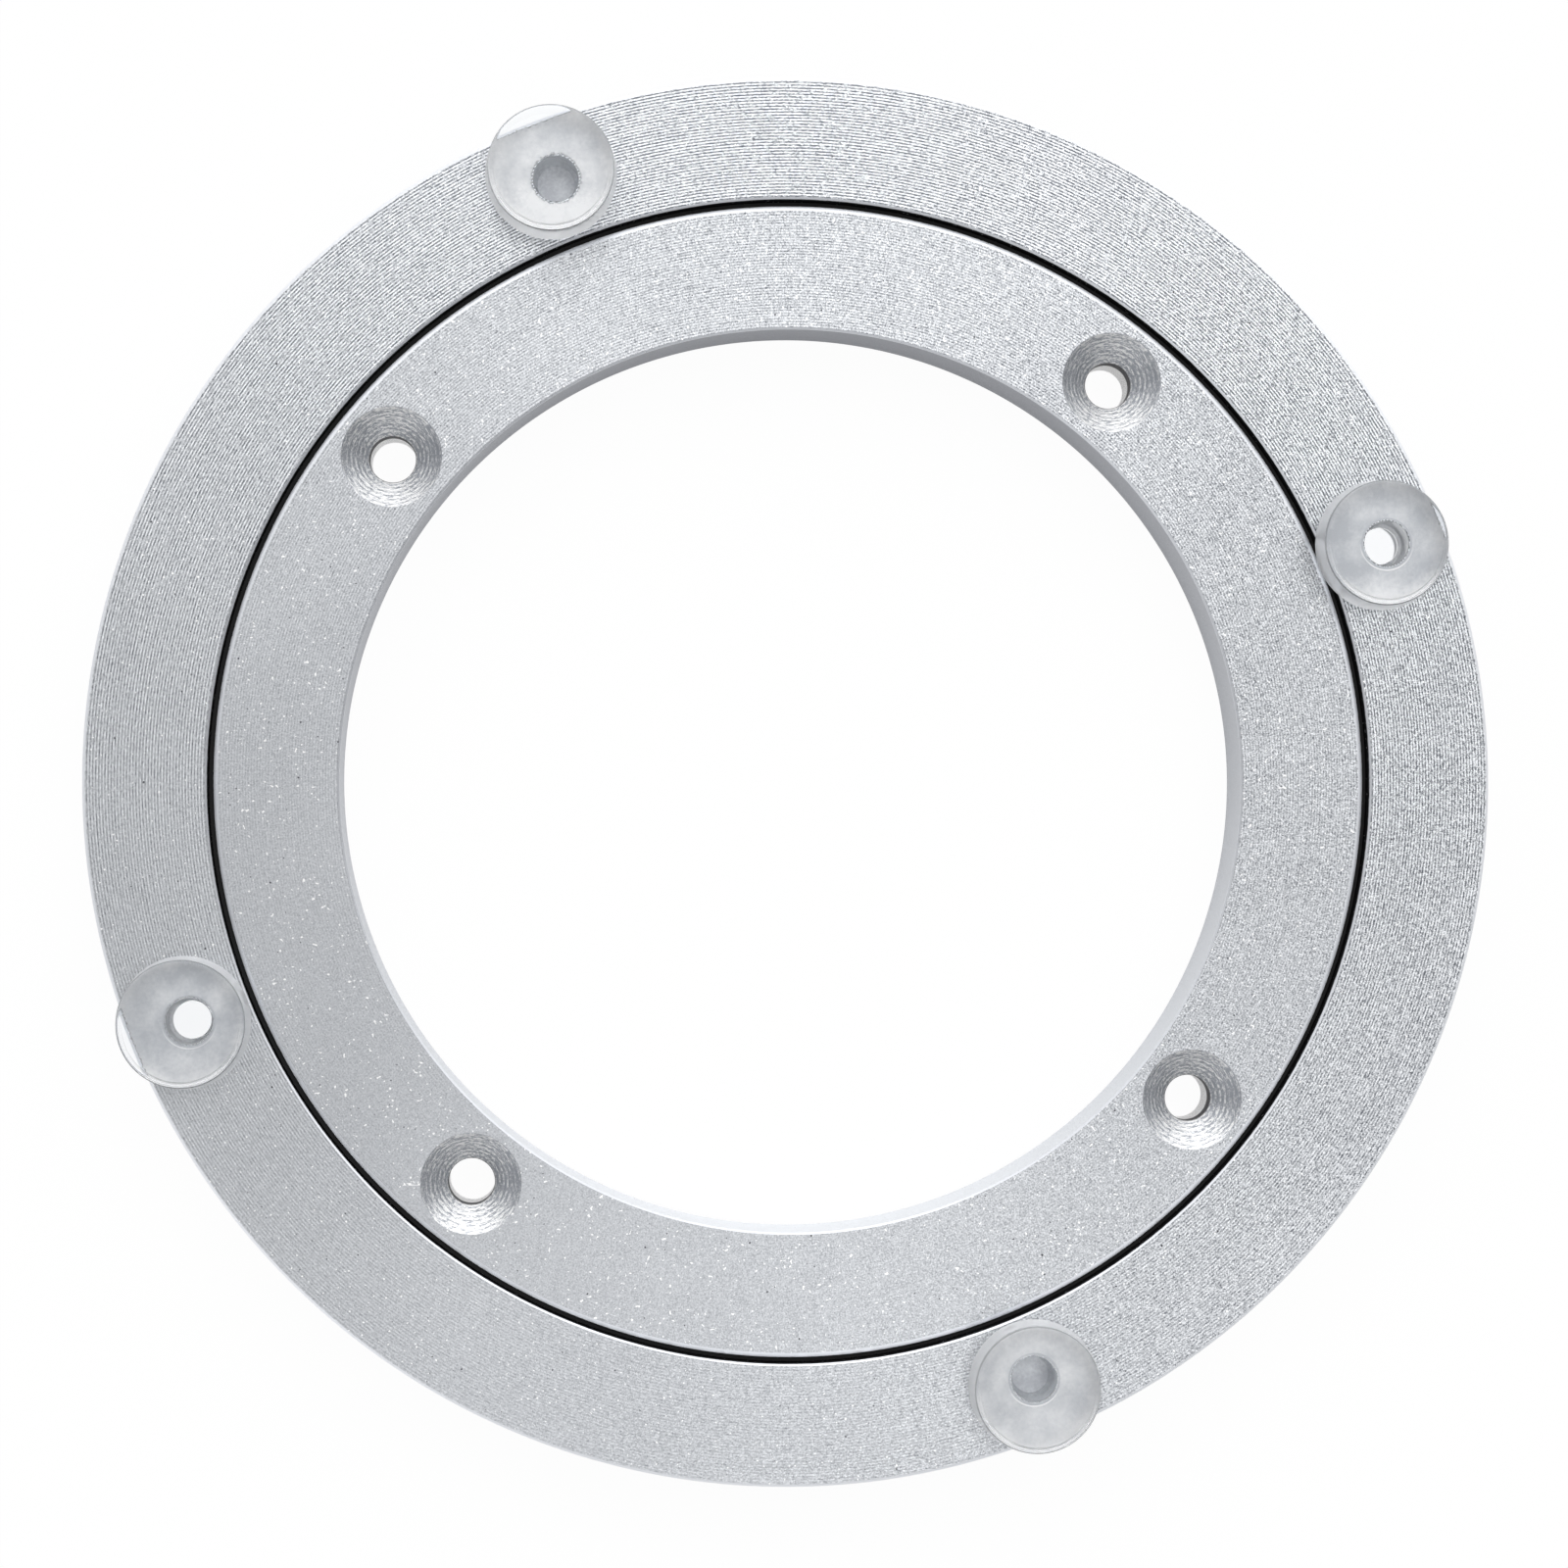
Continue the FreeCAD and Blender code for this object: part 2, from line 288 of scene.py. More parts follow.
def modifier_tree(name, inputs):
    """An empty modifier tree, its filler and its named inputs."""
    group = bpy.data.node_groups.new(name, "GeometryNodeTree")
    group.is_modifier = True
    for label, kind in [("Geometry", "Geometry")] + inputs:
        group.interface.new_socket(name=label, in_out="INPUT", socket_type="NodeSocket" + kind)
    group.interface.new_socket(name="Geometry", in_out="OUTPUT", socket_type="NodeSocketGeometry")
    tree = Tree(group)
    first = tree.add("NodeGroupInput")
    given = {label: first.other(label) for label, kind in [("Geometry", "")] + inputs}
    return group, tree, given


def close_tree(tree, geometry, material, chosen=True):
    """Ends a tree in plain geometry that has its material."""
    plain = tree.add("GeometryNodeRealizeInstances", None, {"Geometry": geometry})
    sockets = {"Geometry": plain, "Selection": chosen, "Material": material}
    painted = tree.add("GeometryNodeSetMaterial", None, sockets)
    tree.add("NodeGroupOutput", None, {0: painted})


def add_modifier(thing, group, values):
    """Puts a tree on an object with its inputs set by their identifiers."""
    modifier = thing.modifiers.new(group.name, "NODES")
    modifier.node_group = group
    for item in group.interface.items_tree:
        if item.in_out == "INPUT" and item.name in values:
            modifier[item.identifier] = values[item.name]


def turning_tree():
    """Turns the points of a section about the upright axis."""
    inputs = [("Section", "Object"), ("Steps", "Int"), ("Material", "Material")]
    group, tree, given = modifier_tree("turned_piece", inputs)
    section = tree.add("GeometryNodeObjectInfo", None, {"Object": given["Section"]}, "Geometry")
    count = tree.add("GeometryNodeAttributeDomainSize", None, {"Geometry": section}, "Point Count")
    rows = {"Size X": 1.0, "Size Y": 1.0, "Vertices X": given["Steps"] + 1, "Vertices Y": count}
    grid = tree.add("GeometryNodeMeshGrid", None, rows, "Mesh")
    index = tree.add("GeometryNodeInputIndex")
    turn = (index / count + ROUNDING).floor()
    position = tree.add("GeometryNodeInputPosition")
    where = {"Geometry": section, "Value": position, "Index": index - turn * count}
    spot = tree.add("GeometryNodeSampleIndex", {"data_type": "FLOAT_VECTOR"}, where)
    parts = tree.add("ShaderNodeSeparateXYZ", None, {0: spot}, "X")
    angle = turn * math.tau / given["Steps"]
    placed = tree.vector(parts * angle.cos(), parts * angle.sin(), parts.other("Z"))
    turned = tree.add("GeometryNodeSetPosition", None, {"Geometry": grid, "Position": placed})
    closed = tree.add("GeometryNodeMergeByDistance", None, {"Geometry": turned, "Distance": WELD_DISTANCE})
    close_tree(tree, closed, given["Material"])
    return group


def drilling_tree():
    """Cuts copies of a tool, evenly spaced round the upright axis, out of a piece."""
    inputs = [("Tool", "Object"), ("Count", "Int"), ("Circle", "Float"), ("First angle", "Float")]
    group, tree, given = modifier_tree("drilled_piece", inputs + [("Material", "Material")])
    tool = tree.add("GeometryNodeObjectInfo", None, {"Object": given["Tool"]}, "Geometry")
    facts = {"Geometry": tool, "Name": "drilled", "Value": True}
    kind = {"data_type": "BOOLEAN", "domain": "FACE"}
    marked = tree.add("GeometryNodeStoreNamedAttribute", kind, facts)
    index = tree.add("GeometryNodeInputIndex")
    angle = given["First angle"] + index * math.tau / given["Count"]
    spot = tree.vector(given["Circle"] * angle.cos(), given["Circle"] * angle.sin(), 0.0)
    points = tree.add("GeometryNodePoints", None, {"Count": given["Count"], "Position": spot})
    turn = tree.vector(0.0, 0.0, angle)
    sockets = {"Points": points, "Instance": marked, "Rotation": turn}
    copies = tree.add("GeometryNodeInstanceOnPoints", None, sockets)
    plain = tree.add("GeometryNodeRealizeInstances", None, {"Geometry": copies})
    meshes = {"Mesh 1": given["Geometry"], "Mesh 2": plain}
    cut = tree.add("GeometryNodeMeshBoolean", {"operation": "DIFFERENCE", "solver": "EXACT"}, meshes)
    drilled = tree.add("GeometryNodeInputNamedAttribute", {"data_type": "BOOLEAN"}, {"Name": "drilled"})
    close_tree(tree, cut, given["Material"], drilled)
    return group


TURNED = turning_tree()
DRILLED = drilling_tree()


def turn_section(name, points, material, steps=TURN_STEPS):
    """An object whose modifier turns a section; it still takes more modifiers."""
    thing = new_object(name, bpy.data.meshes.new(name))
    section = points_object(name + "_section", points)
    add_modifier(thing, TURNED, {"Section": section, "Steps": steps, "Material": material})
    return thing


def drill(thing, tool, count, circle, first, material):
    values = {"Tool": tool, "Count": count, "Circle": circle * MM, "Material": material}
    values["First angle"] = math.radians(first)
    add_modifier(thing, DRILLED, values)


def make_tool(name, points, steps=64):
    """A cutting tool that is turned about its own axis."""
    return settle(name, turn_section(name, points, None, steps))


# Sections of the rings

def tool_lines(start, end, level, pitch, depth, seed):
    """Points along a face that a tool has left in fine rounded grooves."""
    rng = random.Random(seed)
    cells = round(abs(end - start) / pitch)
    width = (end - start) / cells
    points = []
    for cell in range(cells):
        cut = depth * rng.uniform(LEAST_CUT, 1.0)
        for part in (0.0, 0.25, 0.5, 0.75):
            drop = cut * (1 - (2 * part - 1) ** 2)
            points.append((start + width * (cell + part), level - drop))
    return points + [(end, level)]


def race_arc(wall):
    """Points of the race groove in a wall, from its upper end to its lower one."""
    half = math.acos((wall - RACE_R) / GROOVE_R)
    points = []
    for step in range(ARC_STEPS + 1):
        angle = half - 2 * half * step / ARC_STEPS
        points.append((RACE_R + GROOVE_R * math.cos(angle), RACE_Z + GROOVE_R * math.sin(angle)))
    return points


def outer_section():
    """The outer ring from its underside round its rim, face and slot wall."""
    face = tool_lines(RIM_R - EDGE, OUTER_R + SLOT_EDGE, OUTER_TOP, OUTER_PITCH, OUTER_DEPTH, seed=4)
    middle_r, middle_z = OUTER_MIDDLE
    under = [(OUTER_R + EDGE, OUTER_LOW), (middle_r, OUTER_LOW), (RIM_R - EDGE, OUTER_LOW)]
    rim = [(RIM_R, OUTER_LOW + EDGE), (RIM_R, middle_z), (RIM_R, OUTER_TOP - EDGE)]
    wall = [(OUTER_R, OUTER_TOP - SLOT_EDGE)] + race_arc(OUTER_R) + [(OUTER_R, OUTER_LOW + EDGE)]
    return under + rim + face + wall + under[:1]


def inner_section():
    """The inner ring from its underside round its slot wall, face and bore."""
    face = tool_lines(INNER_R - INNER_EDGE, BORE_R + BORE_EDGE, INNER_TOP, INNER_PITCH, INNER_DEPTH, seed=9)
    middle_r, middle_z = INNER_MIDDLE
    under = [(BORE_R + BORE_EDGE, 0.0), (middle_r, 0.0), (INNER_R - EDGE, 0.0)]
    arc = [(2 * RACE_R - r, z) for r, z in race_arc(2 * RACE_R - INNER_R)]
    wall = [(INNER_R, EDGE)] + arc[::-1] + [(INNER_R, INNER_TOP - INNER_EDGE_DROP)]
    bore = [(BORE_R, INNER_TOP - BORE_EDGE), (BORE_R, middle_z), (BORE_R, BORE_EDGE)]
    return under + wall + face + bore + under[:1]


def countersink_tool():
    """A drill with a cone whose cut leaves fine rings."""
    depth = SINK_R - SCREW_HOLE_R
    cells = round(depth / SINK_PITCH)
    width = depth / cells
    cone = []
    for cell in range(cells):
        for part in (0.0, 0.3, 0.6, 0.85):
            out = SCREW_HOLE_R + width * (cell + part)
            ripple = SINK_RIPPLE * math.sin(math.pi * part)
            cone.append((out - ripple, INNER_TOP - SINK_R + out + ripple))
    mouth = [(SINK_R, INNER_TOP), (SINK_R + 0.5, INNER_TOP + 0.5), (0.0, INNER_TOP + 0.5)]
    return make_tool("countersink_tool", [(0.0, -1.0), (SCREW_HOLE_R, -1.0)] + cone + mouth, 72)


def pad_drill(name, bottom):
    tip = [(0.0, bottom - DRILL_TIP), (PAD_HOLE_R, bottom)]
    return make_tool(name, tip + [(PAD_HOLE_R, OUTER_TOP + 1), (0.0, OUTER_TOP + 1)])


def port_drill():
    """The drill for the loading port, laid along the radius."""
    past = RIM_R + 0.5
    bore = [(0.0, RACE_R), (PORT_R, RACE_R), (PORT_R, RIM_R - 0.2)]
    tool = make_tool("port_drill", bore + [(PORT_R + PORT_FLARE, past), (0.0, past)])
    lay = Matrix.Translation((0, 0, RACE_Z * MM)) @ Matrix.Rotation(math.radians(90), 4, "Y")
    tool.data.transform(lay)
    return tool


# Colours of the finishes

WHITE = (1.0, 1.0, 1.0, 1)
LINE_DARK = (0.12, 0.13, 0.15, 1)
LINE_LIGHT = (0.92, 0.94, 0.97, 1)
PIT_DARK = (0.08, 0.08, 0.09, 1)
# The bore's wall is painted between these two, as painted shade and painted light by its direction
BORE_PAINTED_SHADE = (0.33, 0.34, 0.37, 1)
BORE_PAINTED_LIGHT = (0.79, 0.81, 0.84, 1)
OUTER_EDGE_COLOUR = (0.89, 0.91, 0.95, 1)
INNER_EDGE_COLOUR = (0.77, 0.79, 0.83, 1)
# Painted shade on the walls of the slot between the rings
SLOT_PAINTED_SHADE = (0.015, 0.015, 0.016, 1)
# The dark end of the countersinks' painted light and shade
SINK_PAINTED_SHADE = (0.42, 0.44, 0.48, 1)
# Painted shade in the screw holes below the countersinks
SINK_HOLE_PAINTED_SHADE = (0.03, 0.03, 0.035, 1)
SEAT_DULL = (0.58, 0.60, 0.63, 1)
STEM_DULL = (0.679, 0.693, 0.728, 1)
STEM_PALE = (0.96, 0.98, 1.0, 1)
# The milky side wall of a pad, and its painted highlight
PAD_MILK_AND_HIGHLIGHT = (0.96, 0.97, 0.99, 1)
# Painted shade on the upper edge of a pad
PAD_PAINTED_SHADE = (0.12, 0.125, 0.13, 1)

# The radius in millimetres at which a drawn-out grain has its stated length
GRAIN_R = 60.0


# Finishes

def studio_way(photo_angle, height):
    """The direction in the scene of an angle in the photo and a height, in degrees."""
    turn = math.radians(photo_angle - 90 + IMAGE_UP)
    rise = math.radians(height)
    return math.cos(turn) * math.cos(rise), math.sin(turn) * math.cos(rise), math.sin(rise)


class Finish(Tree):
    """A material whose pattern reads object coordinates in metres."""

    def __init__(self, name):
        self.material = bpy.data.materials.new(name)
        self.material.use_nodes = True
        super().__init__(self.material.node_tree)
        self.nodes.clear()
        self.place = self.add("ShaderNodeTexCoord", None, None, "Object")
        self.x = self.add("ShaderNodeSeparateXYZ", None, {0: self.place}, "X")
        self.y = self.x.other("Y")
        self.z = self.x.other("Z")

    def noise(self, where, scale, detail=2.0, rough=0.5):
        sockets = {"Vector": where, "Scale": scale, "Detail": detail, "Roughness": rough}
        return self.add("ShaderNodeTexNoise", None, sockets, "Fac")

    def bump(self, height, distance):
        return self.add("ShaderNodeBump", None, {"Height": height, "Distance": distance, "Strength": 1.0})

    def finish(self, sockets):
        shader = self.add("ShaderNodeBsdfPrincipled", None, sockets)
        self.add("ShaderNodeOutputMaterial", None, {"Surface": shader})
        return self.material


def from_axis(x, y):
    """The distance of a spot from the axis that x and y are counted from."""
    return (x * x + y * y).sqrt()


def towards(x, y, radius, photo_angle):
    """How far a spot lies towards an angle of the photo, from -1 to 1."""
    way = studio_way(photo_angle, 0)
    return (x * way[0] + y * way[1]) / radius


def along_lines(f, x, y, radius, length, width):
    """Coordinates of a grain that is drawn out round an axis, in millimetres."""
    around = [part / radius * (GRAIN_R / length) for part in (x, y)]
    return f.vector(around[0], around[1], (radius + f.z) / (width * MM))


def scratch_mask(f):
    """1 on a short broken scratch beside one screw hole."""
    way = studio_way(0, 0)
    x, y = (part - middle * MM for part, middle in zip((f.x, f.y), SCRATCH_MIDDLE))
    along = (x * way[0] + y * way[1]).abs()
    across = (y * way[0] - x * way[1]).abs()
    broken = f.noise(f.place, 2600.0, 1.0).step(0.42, 0.50)
    return along.falls(0.9, 1.1) * across.falls(0.09, 0.14) * broken


@dataclass
class Face:
    """A ring's turned face and the strength of its marks, lengths in millimetres."""

    pitch: float  # from one tool line to the next
    inside: float  # the radius that the face starts at
    outside: float  # the radius that it ends at
    top: float  # its height
    painted_shade_below: float  # the height that the slot's walls are painted black below, as painted shade
    line_share: float  # how strong the tool lines look
    grain_length: float  # how long the speckle is along the lines
    grain_share: float  # how strong the speckle looks
    painted_light_swing: float  # how much painted light makes the strength of its marks differ from side to side
    edge_colour: tuple  # of the broken edges beside the face


class RingFinish(Finish):
    """Turned aluminium, and where a spot lies on its ring."""

    def __init__(self, name, face):
        super().__init__(name)
        self.face = face
        self.radius = from_axis(self.x, self.y)
        self.grain = self.drawn_out(face.grain_length, 0.22, 0.6)
        self.sparkle = self.noise(self.place, 8500.0, 0.0)

    def drawn_out(self, length, width, rough=0.5):
        """A grain that follows the tool lines."""
        where = along_lines(self, self.x, self.y, self.radius, length, width)
        return self.noise(where, 1.0, 1.0, rough)

    def facing(self, photo_angle):
        return towards(self.x, self.y, self.radius, photo_angle)

    def tone(self):
        """Tool lines and speckle, both painted stronger on one side of the ring as painted light."""
        face = self.face
        dash = self.drawn_out(0.6, face.pitch * 1.2)
        cloud = self.noise(self.place, 60.0, 2.0)
        first = (face.outside + face.top) * MM
        groove = ((self.radius + self.z - first) / (face.pitch * MM) * math.tau).cos()
        # painted light: the tool lines are painted stronger towards one side of the studio
        lines_painted_light = self.facing(75) * 0.45 + 0.55
        lines = groove * (dash * 3.0 - 0.7) * face.line_share * lines_painted_light
        speckle = (self.grain - 0.5) * face.grain_share + (self.sparkle - 0.5) * face.grain_share
        # painted light: the speckle is painted stronger towards another side of the studio
        speckle_painted_light = self.facing(35) * face.painted_light_swing * 1.2 + 1.0
        return lines + speckle * speckle_painted_light + (cloud - 0.5) * 0.1 + 0.5

    def with_marks(self, colour):
        """Adds bright flecks, a scratch and a few dark pits to a colour."""
        fleck = self.noise(self.place, 3300.0, 0.0).step(0.77, 0.81)
        pit = self.noise(self.place, 2600.0, 0.0).step(0.84, 0.86)
        colour = self.mix((fleck + scratch_mask(self)).least(1.0), colour, WHITE)
        return self.mix(pit, colour, PIT_DARK)

    def with_bore(self, colour, tone):
        """Gives the bore its own wall, painted lighter on one side of the studio and darker on the other, as
        painted light and shade.
        """
        inside = self.radius.falls(BORE_R + 0.02, BORE_R + 0.08)
        # painted light and shade on the bore's wall, by its direction round the axis
        light = self.facing(270) * 0.5 + 0.42 + tone * 0.16
        return self.mix(inside, colour, self.mix(light, BORE_PAINTED_SHADE, BORE_PAINTED_LIGHT))

    def edge_mask(self):
        """1 on the broken edges beside the face."""
        face = self.face
        outer = self.radius.rises(face.outside, face.outside + 0.04)
        inner = self.radius.falls(face.inside - 0.04, face.inside)
        return (outer + inner) * self.z.rises(face.top - 0.40, face.top - 0.32)

    def slot_shade_mask(self):
        """1 on the walls of the slot, painted black as shade deep between the rings, with a ragged upper end
        and a few bright burrs.
        """
        painted_shade_below = self.face.painted_shade_below
        shade_raggedness = (self.noise(self.place, 1100.0, 3.0) - 0.5) * MM
        burr = self.noise(self.place, 2400.0, 1.0).step(0.70, 0.74)
        low = (self.z + shade_raggedness * 0.6).falls(painted_shade_below - 0.3, painted_shade_below)
        wall = ((self.radius - RACE_R * MM).abs() - shade_raggedness.abs() * 1.2).falls(0.32, 0.38)
        return wall * low * (1 - burr)


def turned_aluminium(name, face):
    """Turned and clear-coated aluminium, with tool lines and a fine sparkle."""
    f = RingFinish(name, face)
    tone = f.tone()
    colour = f.with_bore(f.with_marks(f.mix(tone, LINE_DARK, LINE_LIGHT)), tone)
    colour = f.mix(f.edge_mask(), colour, face.edge_colour)
    # painted shade: the slot's walls are painted black where shade falls deep between the rings
    slot = f.slot_shade_mask()
    return f.finish({
        "Base Color": f.mix(slot, colour, SLOT_PAINTED_SHADE), "Metallic": 1.0,
        "Roughness": 0.42 - f.sparkle.step(0.66, 0.80) * 0.16 + slot * 0.3,
        "Normal": f.bump(f.grain, 0.006 * MM), "Anisotropic": 0.5, "Anisotropic Rotation": 0.25,
    })


def drilled_aluminium():
    """The plain cut of a drill."""
    f = Finish("drilled_aluminium")
    grain = f.noise(f.place, 5000.0, 2.0)
    cloud = f.noise(f.place, 900.0, 1.0)
    tone = (grain - 0.5) * 0.4 + (cloud - 0.5) * 0.3 + 0.5
    colour = f.mix(tone, (0.62, 0.63, 0.65, 1), (0.85, 0.86, 0.88, 1))
    return f.finish({
        "Base Color": colour, "Metallic": 1.0, "Roughness": 0.35 + grain * 0.1,
        "Normal": f.bump(grain, 0.002 * MM),
    })


def countersunk_aluminium():
    """The rings that a countersink leaves, broken into dashes, painted lighter on one side of each hole and
    darker on the others as painted light and shade, and in the hole below a band painted black as shade over
    a lower end painted white as light.
    """
    f = Finish("countersunk_aluminium")
    centre = SCREW_CIRCLE * math.sqrt(0.5) * MM
    x = f.x.sign() * (f.x.abs() - centre)
    y = f.y.sign() * (f.y.abs() - centre)
    radius = from_axis(x, y)
    dash = f.noise(along_lines(f, x, y, radius, 7.0, 0.14), 1.0, 2.0, 0.6)
    grain = f.noise(f.place, 6000.0, 1.0)
    patch = f.noise(along_lines(f, x, y, radius, 9.0, 0.7), 1.0, 1.0)
    # painted light and shade: the cone is painted lighter on its side that faces one way of the studio, with
    # its rings and dashes painted stronger there
    facing = towards(x, y, radius, 270)
    aside = towards(x, y, radius, 150)
    near = radius.falls(3.0, 4.4)
    arcs = (radius / (SINK_ARC_PITCH * MM) * math.tau).cos() * (patch * 4.0 - 1.5).most(0.0)
    marks = arcs * (facing.abs() * 0.3 + near * 0.5 + 0.22) + (grain - 0.5) * 1.5
    # the painted light of the cone, by its direction round the hole
    bright = facing * 0.26 + facing * facing * 0.50 + aside * 0.10 + 0.18
    colour = f.mix((dash - 0.5) * (facing.abs() + 0.35) * 5.0 + marks + bright, SINK_PAINTED_SHADE, WHITE)
    # painted light at the lower end of the screw hole, and a band of painted shade above it
    low = f.z.falls(SINK_PAINTED_LIGHT_BELOW - 0.2, SINK_PAINTED_LIGHT_BELOW + 0.2)
    deep = f.z.falls(SINK_PAINTED_SHADE_BELOW - 0.02, SINK_PAINTED_SHADE_BELOW + 0.10) * (1 - low)
    colour = f.mix(low, f.mix(deep, colour, SINK_HOLE_PAINTED_SHADE), WHITE)
    return f.finish({
        "Base Color": colour, "Metallic": 1.0, "Roughness": 0.45 + (grain - 0.5) * 0.2 - low * 0.25,
        "Normal": f.bump(dash, 0.05 * MM),
    })


def pad_centre(number):
    """The middle of a pad on the outer ring, in millimetres."""
    angle = math.radians(PORT_ANGLE + 90 * number - 45)
    return PAD_CIRCLE * math.cos(angle), PAD_CIRCLE * math.sin(angle)


def pad_slip(number):
    """How far a soft pad has crept off its stem in x and y, from its slip in the photo."""
    right, up = PAD_SLIP[number]
    ways = studio_way(0, 0), studio_way(90, 0)
    return tuple(ways[0][axis] * right + ways[1][axis] * up for axis in (0, 1))


def ring_mask(radius, middle, width):
    """1 on a thin ring about an axis, sizes in millimetres."""
    return (radius - middle * MM).abs().falls(width * 0.35, width * 0.65)


@dataclass
class PadLook:
    """How milky a pad looks where it touches metal, and how much painted light lies on that metal."""

    stem_side: float  # how matt the side of its stem looks, from 0 to 1
    stem_end: float  # the same for the end of the stem
    base: float  # how light the metal under it is painted, as painted light that differs from pad to pad
    glow: float  # how much lighter that metal is painted at its lower side, as painted light
    painted_light_start: float  # where that painted light starts, in millimetres below the middle
    frayed: float  # how ragged the outline of the stem looks, from 0 to 1
    reach: float  # the radius of the ring that the metal ends at, in millimetres


class PadFinish(Finish):
    """Clear polymer, and where a spot lies on its pad."""

    def __init__(self, number, look):
        super().__init__(f"clear_polymer_{number + 1}")
        self.look = look
        hole_x, hole_y = (part - middle * MM for part, middle in zip((self.x, self.y), pad_centre(number)))
        x, y = (part - slip * MM for part, slip in zip((hole_x, hole_y), pad_slip(number)))
        self.ring = from_axis(self.x, self.y)
        self.hole = from_axis(hole_x, hole_y)
        self.radius = from_axis(x, y)
        # the lower side in the studio, which the pads' painted light and highlights favour
        self.down = towards(x, y, self.radius, 270)
        self.lit = self.down.most(0.0)
        self.haze = self.noise(self.place, 380.0, 3.0)
        self.specks = self.noise(self.place, 3000.0, 2.0)
        self.ragged = (self.specks - 0.5) * 0.5 * MM
        self.under = (self.z - (OUTER_TOP + PAD_LIFT) * MM).abs().falls(0.02, 0.06)

    def stem_masks(self):
        """The stem seen from above, its end, and how matt it looks inside its hole."""
        look = self.look
        level = OUTER_TOP - STEM_LENGTH
        stem = (self.hole + self.ragged * look.frayed).falls(2.30, 2.38 + 0.25 * look.frayed)
        end = self.z.falls(level + 0.02, level + 0.08)
        held = (1 - self.under) * stem * self.z.falls(8.2, 8.3)
        return stem, end, held * ((1 - end) * look.stem_side + end * look.stem_end)

    def seat_mask(self, stem):
        """1 where the pad's underside lies on the ring's face."""
        reach = self.look.reach
        metal = (self.ring + self.ragged).falls(reach - 0.1, reach + 0.1) * self.ring.rises(58.1, 58.2)
        return self.under * metal * (1 - stem)

    def seat_colour(self):
        """Metal under the pad, painted lighter at its lower side, round the stem and at its edge as painted
        light, with fine arcs round the stem that are painted stronger on its lit side, the light one as a
        painted highlight.
        """
        look = self.look
        lower = (self.down * self.radius + self.ragged * 2).rises(look.painted_light_start, look.painted_light_start + 3.5)
        edge = self.radius.rises(4.6, 6.2)
        halo = (self.hole - 3.3 * MM).abs().falls(0.2, 1.3)
        # the dark arc is painted stronger, and the light arc painted as a highlight, on the lit side
        dark_arc = ring_mask(self.hole, 2.50, 0.16) * (0.4 + self.lit * 0.6) * (1 - look.frayed)
        painted_highlight_arc = ring_mask(self.hole, 2.68, 0.14) * self.lit * (1 - look.frayed)
        cloudy = (self.haze - 0.5) * 1.3 + (self.specks - 0.5) * 0.5
        # painted light on the metal under the pad
        bright = lower * look.glow + halo * 0.15 + edge * 0.35 + look.base
        return self.mix(cloudy + bright - dark_arc + painted_highlight_arc, SEAT_DULL, WHITE)

    def stem_colour(self, end):
        tone = (self.haze - 0.5) * 2.5 + (self.specks - 0.5) * 1.5 + 0.7 - end * 0.3
        return self.mix(tone, STEM_DULL, STEM_PALE)

    def rim_masks(self):
        """The side wall, and the painted dark outline, the painted highlight and the painted dark ring beside
        it at its upper edge.
        """
        top = OUTER_TOP + PAD_HEIGHT
        upper = self.z.rises(top - 0.06, top - 0.02)
        wall = (1 - self.under) * self.radius.rises(5.9, 6.0) * self.z.falls(top - 0.50, top - 0.34)
        # a painted dark outline on the rounded upper edge
        painted_outline = self.z.rises(top - 0.36, top - 0.30) * self.z.falls(top - 0.14, top - 0.08)
        # a painted highlight on the rounded upper edge, on the lit side only
        painted_highlight = ring_mask(self.radius, 5.92, 0.20) * upper * self.lit
        # painted shade: a dark ring beside the painted highlight, on the lit side only
        groove = ring_mask(self.radius, 5.68, 0.16) * upper * self.lit
        return wall, painted_outline, painted_highlight, groove


def clear_polymer(number, look):
    """Soft clear polymer. It wets the metal that it sits on, and looks milky there; that metal carries
    painted light, and the upper edge a painted highlight and painted dark rings.
    """
    f = PadFinish(number, look)
    stem, end, held = f.stem_masks()
    wall, painted_outline, painted_highlight, groove = f.rim_masks()
    seat = f.seat_mask(stem)
    colour = f.mix(stem, f.seat_colour(), f.stem_colour(end))
    # the milky side wall, and the painted highlight at the upper edge
    colour = f.mix((wall + painted_highlight).least(1.0), colour, PAD_MILK_AND_HIGHLIGHT)
    matt = f.add("ShaderNodeBsdfPrincipled", None, {
        "Base Color": f.mix((painted_outline + groove).least(1.0), colour, PAD_PAINTED_SHADE),
        "Metallic": (seat * 0.7 + held * (0.3 + end * 0.5)).least(1.0),
        "Roughness": 0.5, "Anisotropic": 0.3, "Anisotropic Rotation": 0.25,
    })
    clear = f.add("ShaderNodeBsdfPrincipled", None, {
        "Base Color": f.mix(f.haze, (0.95, 0.965, 0.985, 1), (0.98, 0.99, 1.0, 1)),
        "Roughness": 0.03 + f.specks * 0.04, "IOR": 1.45, "Transmission Weight": 1.0,
        "Normal": f.bump(f.haze, 0.01 * MM),
    })
    # the painted outline is painted stronger on the lit side
    share = seat + held + wall * 0.4 + painted_outline * (0.35 + f.lit * 0.5) + painted_highlight * 0.5 + groove * 0.4
    mixed = f.add("ShaderNodeMixShader", None, {0: share, 1: clear, 2: matt})
    f.add("ShaderNodeOutputMaterial", None, {"Surface": mixed})
    return f.material


